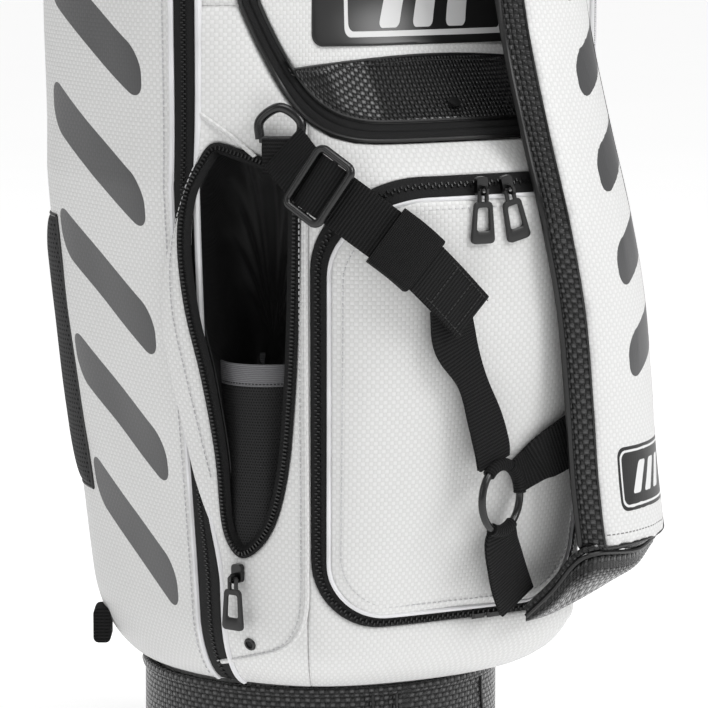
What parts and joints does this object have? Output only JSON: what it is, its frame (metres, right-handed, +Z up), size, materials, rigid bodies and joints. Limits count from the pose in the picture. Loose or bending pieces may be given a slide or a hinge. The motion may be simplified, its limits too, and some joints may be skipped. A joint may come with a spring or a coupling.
{
  "type": "golf staff bag",
  "caption": "Tall golf staff bag with zipped pockets round a stiff barrel, an open bottle pocket, six club wells and one padded shoulder strap.",
  "frame": {"origin": "middle of the sole plate's underside, on the ground", "axes": "+Z up along the barrel, -Y towards the front pockets, +X towards the side where the padded strap hangs"},
  "size_m": [0.376, 0.4451, 0.915],
  "materials": {
    "white_vinyl": "semi-matt, small embossed diamond grain",
    "carbon_weave_vinyl": "glossy, woven relief",
    "zip_tape": "matt woven tape",
    "satin_lining": "satin",
    "air_mesh": "matt knitted mesh",
    "webbing": "ribbed polyester",
    "black_plastic": "gloss moulded",
    "pull_plastic": "soft-touch",
    "rubber": "matt",
    "foam": "closed-cell foam",
    "grey_elastic": "knitted elastic",
    "dark_metal": "black nickel"
  },
  "bodies": {
    "bag": {"sole_plate": "rubber", "base_boot": "carbon_weave_vinyl", "floor_pad": "foam", "barrel_shell": "white_vinyl", "top_collar": "carbon_weave_vinyl", "divider_grid": "rubber", "full_length_dividers": "satin_lining", "left_apparel_pocket": "white_vinyl", "left_apparel_zip": "zip_tape", "right_apparel_pocket": "white_vinyl", "right_apparel_zip": "zip_tape", "bottle_pocket_panel": "white_vinyl", "right_side_panel": "white_vinyl", "bottle_pocket_lining": "satin_lining", "bottle_mesh_sleeve": "air_mesh", "sleeve_elastic_band": "grey_elastic", "bottle_zip": "black_plastic", "centre_pocket": "white_vinyl", "centre_pocket_door": "white_vinyl", "centre_pocket_zip": "zip_tape", "upper_pocket": "white_vinyl", "upper_pocket_zip": "zip_tape", "woven_band": "carbon_weave_vinyl", "front_patch": "black_plastic", "snap_stud": "dark_metal", "drain_eyelet": "black_plastic", "bottle_pocket_slider": "dark_metal", "spine_panel": "air_mesh", "hip_pad": "air_mesh", "spine_grip_upper_patch": "webbing", "spine_grip_lower_patch": "webbing", "towel_ring_tab": "webbing", "umbrella_sleeve": "air_mesh", "rear_webbing_tab": "webbing", "lower_anchor_loop": "black_plastic", "upper_anchor_loop": "black_plastic"},
    "shoulder_strap": {"strap_pad": "white_vinyl", "strap_pad_lining": "air_mesh", "strap_end_flap": "carbon_weave_vinyl", "o_ring": "black_plastic", "adjuster_webbing": "webbing", "ring_webbing_upper": "webbing", "ring_webbing_right": "webbing", "ring_webbing_lower": "webbing", "upper_webbing": "webbing", "tri_glide": "black_plastic", "webbing_keeper": "webbing"},
    "spine_grip": {"spine_grip": "carbon_weave_vinyl"},
    "towel_ring": {"towel_ring": "dark_metal"},
    "left_apparel_slider": {"left_apparel_slider": "dark_metal"},
    "left_apparel_pull": {"left_apparel_pull": "pull_plastic"},
    "right_apparel_slider": {"right_apparel_slider": "dark_metal"},
    "right_apparel_pull": {"right_apparel_pull": "pull_plastic"},
    "upper_pocket_slider": {"upper_pocket_slider": "dark_metal"},
    "upper_pocket_pull": {"upper_pocket_pull": "pull_plastic"},
    "bottle_pocket_pull": {"bottle_pocket_pull": "pull_plastic"},
    "centre_left_slider": {"centre_left_slider": "dark_metal"},
    "centre_left_pull": {"centre_left_pull": "pull_plastic"},
    "centre_right_slider": {"centre_right_slider": "dark_metal"},
    "centre_right_pull": {"centre_right_pull": "pull_plastic"}
  },
  "joints": [
    {"name": "strap_swing", "type": "hinge", "parent": "bag", "child": "shoulder_strap", "pos_m": [-0.121, -0.158, 0.49], "axis": [-0.5144, -0.1394, -0.8461], "range_deg": [0, 45]},
    {"name": "spine_grip_swing", "type": "hinge", "parent": "bag", "child": "spine_grip", "pos_m": [0, 0.143, 0.595], "axis": [0, 0, 1], "range_deg": [-50, 50]},
    {"name": "towel_ring_swing", "type": "hinge", "parent": "bag", "child": "towel_ring", "pos_m": [-0.11983, -0.03894, 0.818], "axis": [-0.309, 0.9511, 0], "range_deg": [0, 100]},
    {"name": "left_apparel_zip_slide", "type": "slide", "parent": "bag", "child": "left_apparel_slider", "axis": [0, 0, 1], "range_m": [-0.15, 0]},
    {"name": "left_apparel_pull_flip", "type": "hinge", "parent": "left_apparel_slider", "child": "left_apparel_pull", "pos_m": [-0.17535, -0.11301, 0.702], "axis": [-0.6432, 0.7657, 0], "range_deg": [0, 150]},
    {"name": "right_apparel_zip_slide", "type": "slide", "parent": "bag", "child": "right_apparel_slider", "axis": [0, 0, 1], "range_m": [-0.15, 0]},
    {"name": "right_apparel_pull_flip", "type": "hinge", "parent": "right_apparel_slider", "child": "right_apparel_pull", "pos_m": [0.17535, -0.11301, 0.702], "axis": [-0.6432, -0.7657, 0], "range_deg": [0, 150]},
    {"name": "upper_pocket_zip_slide", "type": "slide", "parent": "bag", "child": "upper_pocket_slider", "axis": [0, 0, 1], "range_m": [-0.05, 0.02]},
    {"name": "upper_pocket_pull_flip", "type": "hinge", "parent": "upper_pocket_slider", "child": "upper_pocket_pull", "pos_m": [-0.13225, -0.13976, 0.657], "axis": [-0.959, 0.2833, 0], "range_deg": [0, 150]},
    {"name": "bottle_pocket_pull_flip", "type": "hinge", "parent": "bag", "child": "bottle_pocket_pull", "pos_m": [-0.14683, -0.13465, 0.1815], "axis": [-0.3762, 0.9265, 0], "range_deg": [0, 150]},
    {"name": "centre_left_zip_slide", "type": "slide", "parent": "bag", "child": "centre_left_slider", "axis": [-0.9995, 0.03, 0], "range_m": [0, 0.016]},
    {"name": "centre_left_pull_flip", "type": "hinge", "parent": "centre_left_slider", "child": "centre_left_pull", "pos_m": [-0.00737, -0.24268, 0.456], "axis": [-1, 0.0004, 0], "range_deg": [0, 150]},
    {"name": "centre_right_zip_slide", "type": "slide", "parent": "bag", "child": "centre_right_slider", "axis": [1, 0, 0], "range_m": [0, 0.006]},
    {"name": "centre_right_pull_flip", "type": "hinge", "parent": "centre_right_slider", "child": "centre_right_pull", "pos_m": [0.01384, -0.24267, 0.45609], "axis": [-0.9703, -0.0018, -0.2419], "range_deg": [0, 150]}
  ]
}
